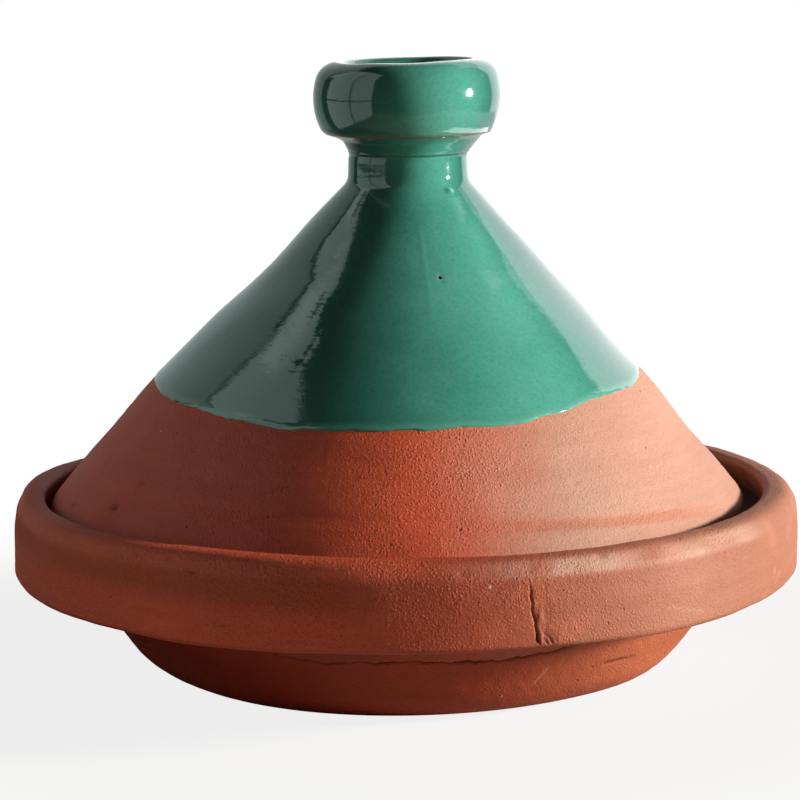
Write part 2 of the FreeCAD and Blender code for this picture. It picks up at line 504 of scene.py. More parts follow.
# %% [markdown]
# ## The rim
# The heavy rim is what the cook lifts the dish by. Its front face was pressed and patted, so
# it is flat but pitted, and one upright drying crack runs down it with curved finger marks at
# its foot. The columns are packed closer round that crack: evenly fine columns all round
# would be mostly wasted.

# %% Rim outline and columns
gallery_r = rim_r - 11.5
rim_under = rim_top - 28.0
lute_t = 1.3
bite = 1.0  # the ring reaches this far into the wall, so that no gap shows
rim_line = outline([
    (grip_r - bite, grip_z, 0),
    (wall_r(seam_z) - bite, seam_z, 0),
    (wall_r(seam_z) + lute_t, seam_z, 0.4),
    (wall_r(rim_under) + lute_t, rim_under, 5),
    (rim_r, rim_under, 1.8),
    (rim_r, rim_top, 7),
    (gallery_r, rim_top, 2.2),
    (gallery_r, seat, 2.5),
    (grip_r - bite, seat, 0),
    (grip_r - bite, grip_z, 0),
])[:-1]


def rim_spacing(r, z):
    return 0.6 if r > gallery_r - 1 and z > rim_under - 1 else 0.9


rim_angles = columns(10.2, 23, 0.12, 0.75)
rim_grid, rim_out = thrown(spaced(rim_line, rim_spacing), rim_angles)
print("rim rows and columns", rim_grid.shape[:2])

# %% Parts of the rim's skin
rim_bearing = bearing_of(rim_grid)
rim_height = rim_grid[..., 2].copy()
rim_radius = off_axis(rim_grid)
rim_up = rim_out[..., 2]
front_depth = 9.0
front_skin = rim_radius > rim_r - front_depth
face = smooth(rim_up, -0.5, -0.1) * front_skin
worn = front_skin * smooth(rim_up, 1.0, 0.55)
smear = smooth(rim_height, rim_under - 0.5, rim_under - 5) * (rim_height < rim_under)
gallery = smooth(rim_radius, gallery_r + 0.4, gallery_r - 0.4) * (rim_height > seat - 1)
shoulder = smooth(rim_up, 0.03, 0.35) * smooth(rim_up, 0.98, 0.8) * (rim_radius > gallery_r + 3)

# %% The rim's upright crack and finger marks
crack_path = [
    (16.1, 54.6), (16.35, 52.2), (16.28, 50.6), (16.5, 48.0), (16.42, 46.4), (16.6, 44.7),
    (16.95, 42.4), (16.9, 41.0), (17.2, 38.5), (17.15, 37.2), (17.5, 35.6), (17.62, 34.0),
]
crack_wide = 0.3
cracks = 0 * rim_height
for start, end in zip(crack_path, crack_path[1:]):
    cracks = np.maximum(cracks, scratch(rim_grid, start, end, crack_wide))
cracks *= face * (0.75 + 0.3 * np.clip(hills(rim_grid, 5, 25), -1, 1)) * smooth(rim_height, 55.5, 52)
proud_lip = dent(rim_grid, 17.6, 39, 2.0, 13) * face * smooth(aside(rim_grid, 16.9), -0.2, 0.4)
proud_lip *= 0.8 + 0.4 * hills(rim_grid, 3.5, 27)
finger_bearing, finger_height, finger_step = 16.6, 33.0, 1.5
finger = np.hypot(aside(rim_grid, finger_bearing), rim_height - finger_height)
finger_marks = bell(finger % finger_step, finger_step / 2, 0.34)
finger_marks *= smooth(finger, 3.4, 4.2) * smooth(finger, 9, 7)
finger_marks *= smooth(aside(rim_grid, finger_bearing), 2.0, 3.2) * face
print("upright crack over", round(crack_path[0][1] - crack_path[-1][1], 1), "mm of the rim")

# %% Nicks, scratches and a pale speck
edge_nicks = [(27.2, rim_top - 1.2, 2.4, 1.2, 1.0), (7.4, rim_top - 3.0, 1.2, 1.2, 1.0)]
face_nicks = [
    (-29.5, 56.4, 4.2, 0.7, 1.0), (-24.8, 41, 3, 0.8, 1.0),
    (133, 48, 5, 1.0, 1.0), (-140, 52, 3, 1.4, 1.0),
]
rim_scratches = [
    ((37.5, 41.8), (43.5, 38.2), 0.4),
    ((63.5, 44), (64.4, 38), 0.4),
    ((65.5, 43), (66.2, 39.5), 0.35),
    ((-112, 50), (-104, 44), 0.4),
]
nicks = dents(rim_grid, edge_nicks) + dents(rim_grid, face_nicks) * face
scrape = scratches(rim_grid, rim_scratches) * face
speck = dent(rim_grid, 10.8, 54.4, 0.62, 0.62)

# %% [markdown]
# Years of lids and hands have rubbed the shoulder down, most of all on the left, and the rim
# dips a little at the back right. Below the overhang the smeared clay is drawn to the ragged
# edge: there the rows follow the bowl's wall instead of being pushed outwards.

# %% The rim's shape
push = 0.35 * hills(rim_grid, 90, 21) + 0.06 * hills(rim_grid, 22, 22) + 0.02 * hills(rim_grid, 4, 23)
patted = np.clip(hills(rim_grid, 16, 24) - 0.6, 0, 1.2) * face
push += 0.5 * proud_lip + 0.25 * speck - 0.07 * patted
push -= 1.2 * cracks + 0.6 * finger_marks + 0.7 * nicks + 0.1 * scrape
to_left = smooth(np.sin(np.radians(rim_bearing)), 0.2, -0.8)
push -= worn * (0.6 + 0.7 * to_left) * smooth(rim_height, 47, 59)
edge_drop = smooth(rim_height, seam_z + 4, seam_z + 0.5) * (seam_height(rim_bearing) - seam_z)
proud = np.minimum(rim_radius - wall_r(rim_height), lute_t) + bite
flap = -0.12 + crack_open(rim_bearing) * (0.75 + 0.12 * hills(rim_grid, 9, 26))
smeared_r = wall_r(rim_height + edge_drop) - bite + proud * (flap + bite) / (lute_t + bite)
back_dip = 0.8 * smooth(rim_height, 50, 60) * bell(rim_bearing, 150, 30)
rim_grid += rim_out * (push * (1 - smear))[..., None]
rim_grid[..., :2] *= 1 + (smear * (smeared_r / rim_radius - 1))[..., None]
rim_grid[..., 2] += edge_drop - back_dip
print("rim skin off by", push.min().round(2), "to", push.max().round(2), "mm")

# %% Rim mesh and its named values
# Painted sheen on the rim's shoulder, where the key lamp's highlight falls; faint elsewhere round the
# rim.
sheen_place = smooth(rim_bearing, 2, 22) * smooth(rim_bearing, 66, 48)
sheen_and_scratch = shoulder * (0.05 + 0.95 * sheen_place) * np.clip(0.8 + 0.22 * hills(rim_grid, 14, 28), 0, 1)
in_front_left = smooth(rim_bearing, 10, -14) * smooth(rim_bearing, -120, -80)
# Painted shade under the lip on the front left.
shade_under_lip = smooth(rim_height, 44, 51) * smooth(rim_height, 58, 55) * in_front_left * worn
# Painted light on the top of the lip and on the face at the front left.
lit_lip = smooth(rim_height, 56, 59) * in_front_left * (rim_radius > gallery_r + 2)
# Painted shade on the smeared clay under the overhang, most of all on the left.
smear_shade = smear * (0.08 + 0.42 * smooth(rim_bearing, 14, -14))
# Painted shade in the crack, finger marks and nicks, together with the shade under the lip and the
# overhang.
rim_shade = cracks + 0.6 * finger_marks + 0.5 * nicks + 0.3 * shade_under_lip + smear_shade
rim_marks = {
    "painted_shade": np.clip(rim_shade, 0, 1),
    "sheen_and_scratch": np.clip(sheen_and_scratch + 0.45 * scrape, 0, 2),
    "lime": np.clip(2.6 * speck - 2.4 * speck ** 6, 0, 1),
    # Paler patted clay, plus painted light on the front-left face and lip.
    "scraped_and_lit": np.clip(0.25 * patted + in_front_left * face + lit_lip, 0, 1),
    # Painted shade in the gallery, the gap between lid and rim.
    "gallery_shade": gallery,
}
dish_rim = fired("dish_rim_clay", rim_grid, ring=True, marks=rim_marks)
seated(dish_rim, "dish_rim")

# %% [markdown]
# ## The lining
# Inside, the dish is coated with a clear glaze that fires to dark honey over the red clay. It
# is a thin closed shell: one skin just in the clay and one a hair above it. The brush stopped
# short of the seat, so its upper edge wanders.

# %% Lining rows up to the brushed edge
lining_top = high("dish_glaze")
lining_line = spaced(
    outline([(0, pan_floor, 0), (pan_corner_r, pan_floor, pan_round), (pan_mouth_r, seat, 0)]),
    lambda r, z: 2.4 if r < 60 else 1.2,
)
lining_line = lining_line[lining_line[:, 1] < lining_top - 1.5]
lining_angles = wheel(420)
brush_ring = spun(100, 40, lining_angles)
brush_edge = lining_top + 0.8 * hills(brush_ring, 34, 31)
brush_edge += 0.45 * hills(brush_ring, 9, 32)
climb = np.array([0.35, 0.62, 0.8, 0.9, 0.96, 1.0])[:, None]
edge_z = lining_line[-1, 1] + climb * (brush_edge - lining_line[-1, 1])
edge_r = pan_mouth_r - (seat - edge_z) / pan_lean
lining_z = np.concatenate([lining_line[:, 1:] + 0 * lining_angles, edge_z])
lining_r = np.concatenate([lining_line[:, :1] + 0 * lining_angles, edge_r])
lining_clay = spun(lining_r, lining_z, lining_angles)
print("brushed edge between", brush_edge.min().round(1), "and", brush_edge.max().round(1), "mm")

# %% Lining mesh
lining_t, lining_bite, thinned_share = 0.62, 0.25, 0.03
lining_way = np.concatenate([lining_line, np.stack([edge_r[:, 0], edge_z[:, 0]], 1)])
lining_up = -outward_of(lining_way)
lining_out = spun(lining_up[:, :1], lining_up[:, 1:], lining_angles[None])
risen = np.linspace(0, 1, len(lining_clay))[:, None]
lining_coat = lining_t + 0.1 * hills(lining_clay, 18, 33)
lining_coat = lining_coat * np.sqrt(np.clip((1 - risen) / thinned_share, 0, 1))
lining_over = lining_clay + lining_out * lining_coat[..., None]
lining_under = lining_clay - lining_out * lining_bite
rings = np.concatenate([lining_under[:-1], lining_clay[-1:], lining_over[-2::-1]])
dish_lining = fired("dish_lining_glaze", rings)
seated(dish_lining, "dish_glaze")

# %% [markdown]
# ## The lid's clay
# The cone was thrown in one pull, and it leans: the knob sits a few millimetres to the right
# of the lid's foot. One shared lean keeps cone, coil, knob and glaze nested. A scraper left a
# rough, slightly sunk band that runs round the skirt in a falling spiral, and on the right it
# tore the skin.

# %% The lid's shared lean
lean_foot, lean_head = -2.6, 2.1  # millimetres to the right at the foot and at the knob


def leaned(points):
    z = points[..., 2]
    centre = lean_foot + (lean_head - lean_foot) * smooth(z, 60, 165)
    centre += np.interp(z, (174, 180, 184), (0, 1.1, 0))  # the coil was set on a little askew
    tip = np.radians(np.interp(z, (168, 183, lip_top), (0, 0.4, 1.3)))
    points[..., 2] += np.tan(tip) * points[..., 0]
    points[..., 0] += centre
    return points


# %% Cone outline
skirt_rise = math.radians(50.3)
edge_round = 4.0
edge_reach = edge_round / math.tan(skirt_rise / 2)
foot_r = lid_r + edge_reach - edge_round
bend_h, bend_round = 46.0, 250.0
lid_wall = 8.4
hollow_bend_h, hollow_bend_round = bend_h + 7.9, 150.0
hollow_bend_r = foot_r - hollow_bend_h / math.tan(skirt_rise) - lid_wall / math.sin(skirt_rise)
lid_mouth_r = lid_r - 9.2
neck_r, neck_flare, neck_cove = 19.7, 0.4, 6.0
neck_foot = neck_top - 9.9
bore_r = neck_r - 6.7
bore_top = neck_top - 8.2
bore_foot = neck_foot - 5.3
skirt_corners = [
    (foot_r, seat, edge_round),
    (foot_r - bend_h / math.tan(skirt_rise), seat + bend_h, bend_round),
    (neck_r + neck_flare, neck_foot, neck_cove),
    (neck_r, neck_top, 0),
]
hollow_corners = [
    (0, bore_top, 0),
    (bore_r, bore_top, 4.5),
    (bore_r, bore_foot, 4.0),
    (hollow_bend_r, seat + hollow_bend_h, hollow_bend_round),
    (lid_mouth_r, seat + edge_round, edge_round),
    (lid_mouth_r, seat, 1.5),
]
cone_line = outline(hollow_corners + skirt_corners + [(0, neck_top, 0)])
print("cone outline of", len(cone_line), "points, neck foot at", round(neck_foot, 1), "mm")

# %% [markdown]
# The wall of the cone sinks in two thirds of the way up, most of all on the left, and a little
# above the foot, as a tall cone does when it is pulled too thin. A Simple Deform could bend
# the whole cone, but not one side. The green coat follows the same function, so it never
# lifts off the clay. Where the coat hides the clay the rows are wide.

# %% How the lid's wall wanders
dip_z, dip_slope_x, dip_slope_y = 97.2, 0.015, 0.031


def cone_spacing(r, z):
    on_skin = z < seat + 3 or r > np.interp(z, (seat, neck_foot), (lid_r - 5, 16))
    if on_skin and z < dip_z + 6:
        return 0.8
    return 3.0 if on_skin else 2.2


def swell(z, middle, below, above):
    """A smooth rise to 1 at one height, with its own width below and above."""
    return bell(z, middle, np.where(z < middle, below, above))


def lid_hills(points):
    """How far the wall stands off its outline, in millimetres."""
    z = points[..., 2]
    left = -2.2 * swell(z, 137.5, 18, 11) - 0.6 * swell(z, 81, 8, 8)
    right = -1.1 * swell(z, 140, 28, 13) - 0.8 * swell(z, 81, 8, 8)
    to_right = np.sin(np.radians(bearing_of(points)))
    even = smooth(z, seat, seat + 8) * smooth(z, neck_foot, neck_foot - 25)
    wander = left * smooth(to_right, -0.4, -0.92) + right * smooth(to_right, 0.4, 0.92)
    wander *= math.sin(skirt_rise) * smooth(z, seat, 64)
    return wander + 0.16 * hills(points, 80, 41) * even


# %% The cone's rings, band and pits
cone_grid, cone_out = thrown(spaced(cone_line, cone_spacing), wheel(456))
cone_height = cone_grid[..., 2].copy()
cone_bearing = bearing_of(cone_grid)
skin = (cone_out[..., 2] > 0.1) & (cone_height > seat)
bare = skin * smooth(cone_height, dip_z - 1, dip_z - 5)
push = lid_hills(cone_grid)
push += bare * (0.05 * hills(cone_grid, 20, 42) + 0.02 * hills(cone_grid, 4, 43))
push += 0.02 * bare * np.sin(cone_height * 1.3 + 0.6 * np.sin(np.radians(cone_bearing)))
push += 0.22 * (~skin) * smooth(cone_height, seat + 4, seat + 12) * np.sin(cone_height * 0.9)
band_z = 68.9 - 0.07 * cone_bearing - 0.0006 * cone_bearing ** 2
band = smooth(np.abs(cone_height - band_z), 1.9, 1.2) * bare * smooth(np.abs(cone_bearing), 95, 60)
torn = band * smooth(cone_bearing, 6, 28) * smooth(cone_bearing, 72, 48)
cone_pits = [  # bearing, height, width, tallness, depth
    (-55.2, 66.5, 3.6, 1.3, 1.0), (-52.1, 74.4, 2.4, 0.9, 0.7), (-69.4, 62.7, 2.2, 1.6, 0.6),
    (19.4, 66.7, 1.2, 1.0, 0.7), (17.7, 65.5, 1.2, 0.9, 0.7), (33, 77, 1.3, 1.0, 0.5),
    (151, 71, 3.0, 1.2, 0.8), (-128, 80, 2.2, 1.2, 0.7),
]
pits = dents(cone_grid, cone_pits) * bare
push -= 0.16 * band + 0.75 * pits
print("cone skin off by", push.min().round(2), "to", push.max().round(2), "mm")

# %% Cone mesh
cone_grid += cone_out * push[..., None]
cone_grid[..., 2] = np.maximum(cone_grid[..., 2], seat)
cone_marks = {
    # Painted shade in the pits.
    "painted_shade": np.clip(0.9 * pits, 0, 1),
    "scraped_and_lit": 0.12 * band + 0.2 * torn,
    "torn": torn,
}
lid_cone = fired("lid_cone_clay", leaned(cone_grid), marks=cone_marks)
seated(lid_cone, "lid_cone")

# %% [markdown]
# ## The coil and the knob
# The knob is a little cup thrown apart and luted on with a coil. Under the glaze both are
# plain clay, so they are made with few columns: they only have to lie under the green coat.

# %% Coil and knob sizes
coil_r = neck_r + 3.2
coil_belly = 1.5
knob_edge_r = neck_r + 8.4
knob_edge = coil_top + 2.2
knob_belly_rise, knob_swell, knob_cove = 12.1, 3.3, 0.35
lip_round, lip_inner_round = 6.8, 3.2
cup_floor = coil_top + 3.8
cup_foot_r = knob_edge_r + knob_swell - 8.8
cup_round = 9.0
stem_r = neck_r - 2.2
print("knob edge radius", round(knob_edge_r, 1), "mm at", round(knob_edge, 1), "mm")

# %% Coil and knob outlines
coil_foot = (neck_r, neck_top)
coil_line = bow(coil_foot, (neck_r + coil_belly, (neck_top + coil_top) / 2), (coil_r, coil_top))
under_middle = (
    (coil_r + knob_edge_r) / 2 - knob_cove / 2,
    (coil_top + knob_edge) / 2 + knob_cove,
)
under_line = bow((coil_r, coil_top), under_middle, (knob_edge_r, knob_edge))
side_round = (knob_swell ** 2 + knob_belly_rise ** 2) / (2 * knob_swell)
side_centre = np.array((knob_edge_r + knob_swell - side_round, knob_edge + knob_belly_rise))
side_end = math.asin((lip_top - lip_round - side_centre[1]) / (side_round - lip_round))
side_arm = np.array((knob_edge_r, knob_edge)) - side_centre
side_line = sweep(side_centre, side_arm, side_end + math.asin(knob_belly_rise / side_round))
lip_r = side_centre[0] + (side_round - lip_round) * math.cos(side_end)
lip_arm = lip_round * np.array((math.cos(side_end), math.sin(side_end)))
lip_line = sweep(np.array((lip_r, lip_top - lip_round)), lip_arm, math.pi / 2 - side_end)
lip_inner_centre = np.array((lip_r, lip_top - lip_inner_round))
lip_in = sweep(lip_inner_centre, np.array((0, lip_inner_round)), math.pi / 2)
cup_line = outline([
    (lip_r - lip_inner_round, lip_top - lip_inner_round, 0),
    (cup_foot_r, cup_floor, cup_round),
    (0, cup_floor, 0),
])
knob_line = np.concatenate([under_line, side_line, lip_line, lip_in, cup_line[1:]])

# %% Coil and knob meshes
stem_head, stem_foot = (stem_r, coil_top, 0), (stem_r, neck_top, 0)
coil_back = outline([(coil_r, coil_top, 0), stem_head, stem_foot, coil_foot + (0,)])
coil_ring = np.concatenate([coil_line, coil_back[1:-1]])
coil_grid, _ = thrown(spaced(coil_ring, lambda r, z: 1.2), wheel(160))
lid_coil = fired("lid_coil_clay", leaned(coil_grid), ring=True)
seated(lid_coil, "lid_collar")
stem_line = outline([(0, neck_top, 0), stem_foot, stem_head, (coil_r, coil_top, 0)])
knob_section = spaced(np.concatenate([stem_line, knob_line[1:]]), lambda r, z: 1.6)
knob_grid, _ = thrown(knob_section, wheel(180))
lid_knob = fired("lid_knob_clay", leaned(knob_grid))
seated(lid_knob, "lid_knob")

# %% [markdown]
# ## The green coat
# The lid was held by its foot and dipped upside down, so the glaze ends in a line that slants
# a little and wavers, with a rolled bead along it. A material mask could colour the cone, but
# then the edge would have no thickness to catch the light. So the coat is its own closed
# shell. Its lowest rows follow the wavering line and swell into the bead.

# %% Dip line and coat thickness
glaze_angles = wheel(440)
dip_r = 89.0
glaze_ring = spun(dip_r, dip_z, glaze_angles)
dip_line = dip_z + dip_slope_x * glaze_ring[:, 0] + dip_slope_y * glaze_ring[:, 1]
dip_side = glaze_ring[:, 0] / dip_r
dip_line += 3.3 * smooth(dip_side, 0.4, 0.92) + 3.4 * smooth(-dip_side, 0.4, 0.72)
dip_line += 0.5 * hills(glaze_ring, 60, 51) + 0.2 * hills(glaze_ring, 16, 52)
dip_line += 0.09 * hills(glaze_ring, 4, 53)
front_reach, bead_reach, bead_t = 0.7, 1.1, 0.13


def coat_thickness(from_edge):
    """Glaze over the clay, in millimetres, by the distance from the dip line."""
    short = 1 - np.clip(from_edge / front_reach, 0, 1)
    front = np.sqrt(np.clip(1 - short ** 2, 0, 1))
    bead = bead_t * bell(from_edge, bead_reach, bead_reach)
    return front * (0.5 * glaze_t + (0.5 * glaze_t) * smooth(from_edge, 6, 30) + bead)


print("dip line between", dip_line.min().round(1), "and", dip_line.max().round(1), "mm")

# %% Rows of the coat
fixed_z = 112.0  # from here upwards the rows are level
low_rows = 26
flank_line = outline([skirt_corners[0][:2] + (0,)] + skirt_corners[1:])
coat_path = np.concatenate([flank_line, coil_line[1:], knob_line[1:]])


def coat_spacing(r, z):
    if z < neck_foot - 6:
        return 1.5
    return 1.9 if r < cup_foot_r - 6 else 0.62


level_rows = spaced(coat_path[coat_path[:, 1] >= fixed_z], coat_spacing)
level_out = outward_of(level_rows)
flank_out = outward_of(flank_line)
slant = np.linspace(0, 1, low_rows)[:, None] ** 2.0
low_z = dip_line + slant * (fixed_z - dip_line)
flank_z, flank_r = flank_line[:, 1], flank_line[:, 0]
low_r = np.interp(low_z, flank_z, flank_r)
low_out = np.stack([np.interp(low_z, flank_z, flank_out[:, k]) for k in (0, 1)], -1)
coat_r = np.concatenate([low_r[:-1], level_rows[:, :1] + 0 * glaze_angles])
coat_z = np.concatenate([low_z[:-1], level_rows[:, 1:] + 0 * glaze_angles])
out_r = np.concatenate([low_out[:-1, :, 0], level_out[:, :1] + 0 * glaze_angles])
out_z = np.concatenate([low_out[:-1, :, 1], level_out[:, 1:] + 0 * glaze_angles])
coat_clay = spun(coat_r, coat_z, glaze_angles)
coat_out = spun(out_r, out_z, glaze_angles)
coat_clay += coat_out * lid_hills(coat_clay)[..., None]
print("coat rows and columns", coat_clay.shape[:2])

# %% [markdown]
# Melted glaze pulls thin over a sharp edge and gathers in a hollow. So the coat thins at the
# knob's lower edge, gathers along the foot of the coil, and hangs in one drop below the neck.
# It has a few pinholes, where gas came out of the clay, and two faint runs.

# %% Thick and thin places of the coat
from_edge = (coat_z - dip_line) / math.sin(skirt_rise)
thick = coat_thickness(from_edge) * (1 + 0.12 * hills(coat_clay, 24, 54))
sharp = bell(np.hypot(coat_r - knob_edge_r, coat_z - knob_edge), 0, 0.9)
crest = bell(np.hypot(coat_r - lip_r, coat_z - lip_top), 0, 2.5)
ridge = bell(coat_z, neck_top + 0.35, 0.55) + 0.4 * bell(coat_z, neck_top + 2.3, 0.4)
ridge *= coat_r < coil_r
drop = dent(coat_clay, 36.5, neck_foot - 2.5, 2.6, 1.7)
pinholes = [(13.3, 137.8), (-97, 131), (160, 122)]
pinhole = sum(dent(coat_clay, bearing, height, 1.3, 1.1) for bearing, height in pinholes)
coat_runs = [((6.4, 153), (8.6, 126), 0.8), ((-120, 150), (-118, 120), 1.2)]
run = scratches(coat_clay, coat_runs)
thick += 0.34 * ridge - 0.25 * sharp - 0.5 * pinhole + 0.06 * run + 0.75 * drop
print("coat up to", thick.max().round(2), "mm thick")

# %% Green coat mesh
hidden_step, coat_bite = 6, 0.3  # the hidden skin has every sixth row and lies in the clay
coat_over = coat_clay + coat_out * thick[..., None]
coat_under = (coat_clay - coat_out * coat_bite)[::hidden_step]
rings = np.concatenate([coat_under[::-1], coat_clay[:1], coat_over[1:]])


def over_under(values):
    return np.concatenate([values[::hidden_step][::-1], values])


coat_marks = {
    "thin": np.clip(over_under(1.1 * sharp + 0.35 * crest), 0, 1),
    "bead": over_under(bell(from_edge, 0.8, 1.3) * (from_edge < 50)),
    "run": np.clip(over_under(run), 0, 1),
}
lid_glaze = fired("lid_green_glaze", leaned(rings), marks=coat_marks)
seated(lid_glaze, "lid_glaze")
nearest = [np.hypot(aside(coat_clay, b), coat_clay[..., 2] - z).argmin() for b, z in pinholes]
pinhole_places = leaned(coat_over.reshape(-1, 3)[nearest]) * MM

# %% [markdown]
# ## Building materials from nodes
# Each finish is a small tree of shader nodes. Written out one call at a time such trees are
# hard to read, so a few helpers make a node, fill its sockets and hand back what it puts out.
# A socket takes either a plain value or the output of another node.

# %% Node helpers
def fill(tree, inputs, values):
    """Sets each input to a plain value, or links it to another node's output."""
    for key, value in values.items():
        if isinstance(value, bpy.types.NodeSocket):
            tree.links.new(value, inputs[key])
        else:
            inputs[key].default_value = value


def node(tree, kind, sockets=None, **settings):
    made = tree.nodes.new("ShaderNode" + kind)
    for key, value in settings.items():
        setattr(made, key, value)
    fill(tree, made.inputs, sockets or {})
    return made


# %% Sums, ramps, mixes and noise
def sums(tree, operation, *values):
    return node(tree, "Math", dict(enumerate(values)), operation=operation).outputs[0]


def ramp(tree, value, start, end, low=0.0, high=1.0):
    """Smooth step of a value, from low at start to high at end."""
    sockets = {"Value": value, 1: start, 2: end, 3: low, 4: high}
    return node(tree, "MapRange", sockets, interpolation_type="SMOOTHSTEP").outputs[0]


def mixed(tree, amount, a, b, how="MIX"):
    made = node(tree, "Mix", {0: amount, 6: a, 7: b}, data_type="RGBA", blend_type=how)
    return made.outputs[2]


def tinted(tree, base, mask, share, tint, how="MIX"):
    """A base colour with a tint laid over it by a share of a mask."""
    return mixed(tree, sums(tree, "MULTIPLY", mask, share), base, tint, how)


def noise(tree, place, scale, detail=2.0, rough=0.5):
    sockets = {"Vector": place, "Scale": scale, "Detail": detail, "Roughness": rough}
    return node(tree, "TexNoise", sockets).outputs[0]


def mark(tree, name):
    """A named value that the mesh carries."""
    return node(tree, "Attribute", attribute_name=name).outputs["Fac"]


def colour(r, g, b):
    return (r, g, b, 1.0)


# %% Groups and materials
def new_group(name, inputs, outputs):
    """Empty node group with named sockets, and its two end nodes."""
    tree = bpy.data.node_groups.new(name, "ShaderNodeTree")
    for label, kind, value in inputs:
        socket = tree.interface.new_socket(label, in_out="INPUT", socket_type="NodeSocket" + kind)
        socket.default_value = value
    for label, kind in outputs:
        tree.interface.new_socket(label, in_out="OUTPUT", socket_type="NodeSocket" + kind)
    return tree, tree.nodes.new("NodeGroupInput").outputs, tree.nodes.new("NodeGroupOutput").inputs


def placed(tree, group, sockets):
    return node(tree, "Group", sockets, node_tree=group).outputs


def new_material(name):
    material = bpy.data.materials.new(name)
    material.use_nodes = True
    tree = material.node_tree
    tree.nodes.clear()
    shader = node(tree, "BsdfPrincipled")
    node(tree, "OutputMaterial", {"Surface": shader.outputs[0]})
    return material, tree, shader.inputs


def bumped(tree, height, distance):
    sockets = {"Height": height, "Distance": distance, "Strength": 1.0}
    return node(tree, "Bump", sockets).outputs[0]


# %% [markdown]
# ## Fired clay
# Fired earthenware is red-orange, cloudy where the flame played on it, and gritty: sand in the
# clay stands up as grains of about a millimetre, and burnt-out bits leave pits. The clay is
# smoother on the right, and its colour carries painted light and shade: paler towards the right,
# darker again at the far right, and darker on the left. Fine grit is too small for the mesh, so
# it is a height for the Bump node. One group serves every clay piece, each with its own colours,
# painted shade on the left, and share of the grit that the right side keeps.

# %% Fired clay group
clay_group, given, put = new_group(
    "Fired clay",
    [
        ("Red", "Color", colour(0.6, 0.2, 0.11)),
        ("Lit side colour", "Color", colour(0.68, 0.29, 0.18)),
        ("Grit", "Float", 1.0),
        ("Painted_shade", "Float", 0.0),
        ("Scraped_and_lit", "Float", 0.0),
        ("Sheen_and_scratch", "Float", 0.0),
        ("Lit side reach", "Float", 0.1),
        ("Left shade", "Float", 0.0),
    ],
    [("Color", "Color"), ("Roughness", "Float"), ("Height", "Float")],
)
t = clay_group
place = node(t, "TexCoord").outputs["Object"]
around = node(t, "Mapping", {"Vector": place, "Scale": (0.08, 0.08, 1.6)}).outputs[0]
cloud = noise(t, place, 16, 4, 0.6)
streak = noise(t, around, 150, 3, 0.6)
patch = noise(t, place, 34, 2, 0.5)
fine = noise(t, place, 1150, 3, 0.65)
to_right = node(t, "SeparateXYZ", {0: place}).outputs["X"]

# %% Grains and pits
def grains(tree, place, scale, wide, chance):
    """Round dots of a few random sizes; 1 in the middle of a dot, 0 between the dots."""
    cell = node(tree, "TexVoronoi", {"Vector": place, "Scale": scale}).outputs
    lot = node(tree, "SeparateColor", {"Color": cell["Color"]}).outputs
    edge = sums(tree, "MULTIPLY_ADD", lot[1], wide * 0.6, wide * 0.4)
    dome = sums(tree, "SUBTRACT", 1.0, sums(tree, "DIVIDE", cell["Distance"], edge))
    chosen = sums(tree, "LESS_THAN", lot[0], chance)
    return sums(tree, "MULTIPLY", sums(tree, "MAXIMUM", dome, 0.0), chosen)


sand = grains(t, place, 1150, 0.75, 0.8)
coarse_sand = grains(t, place, 480, 0.28, 0.04)
pit = grains(t, place, 420, 0.3, 0.04)
fleck = ramp(t, grains(t, place, 300, 0.2, 0.012), 0.1, 0.4)

# %% Clay colour
# Dark brown of painted shade, for cracks, pits, nicks and the gallery.
shade_brown = colour(0.05, 0.016, 0.01)
tone = sums(t, "MULTIPLY_ADD", streak, 0.4, sums(t, "MULTIPLY", cloud, 0.75))
drift = sums(t, "MULTIPLY_ADD", cloud, 0.03, to_right)
# Painted light and shade by side in the next lines: towards the right the colour turns to the lit
# side's, the far right is darkened again, and the left is darkened.
shaded_side = ramp(t, drift, 0.03, -0.035)
body = mixed(t, ramp(t, drift, 0.015, given["Lit side reach"]), given["Red"], given["Lit side colour"])
body = mixed(t, ramp(t, drift, 0.095, 0.125), body, colour(0.87, 0.84, 0.83), "MULTIPLY")
body = tinted(t, body, shaded_side, given["Left shade"], colour(0.72, 0.68, 0.7), "MULTIPLY")
body = mixed(t, ramp(t, tone, 0.75, 0.4), body, colour(0.86, 0.8, 0.78), "MULTIPLY")
body = tinted(t, body, ramp(t, fine, 0.5, 0.3), 0.35, colour(0.62, 0.5, 0.45), "MULTIPLY")
body = tinted(t, body, coarse_sand, 0.22, colour(0.74, 0.36, 0.22))
# Paler where scraped, and painted light where the rim's front-left lip and face are marked.
body = tinted(t, body, given["Scraped_and_lit"], 0.55, colour(1.95, 1.8, 1.75), "MULTIPLY")
# Painted sheen on the rim's shoulder, and pale scratches.
body = tinted(t, body, given["Sheen_and_scratch"], 0.55, colour(0.8, 0.52, 0.4))
body = tinted(t, body, fleck, 0.6, colour(0.8, 0.6, 0.48))
# Painted shade in the pits.
body = tinted(t, body, ramp(t, pit, 0.1, 0.5), 0.55, colour(0.14, 0.04, 0.025))
# Painted shade where the mesh marks cracks, nicks, pits and the clay under the lip and the overhang.
body = tinted(t, body, given["Painted_shade"], 0.8, shade_brown)

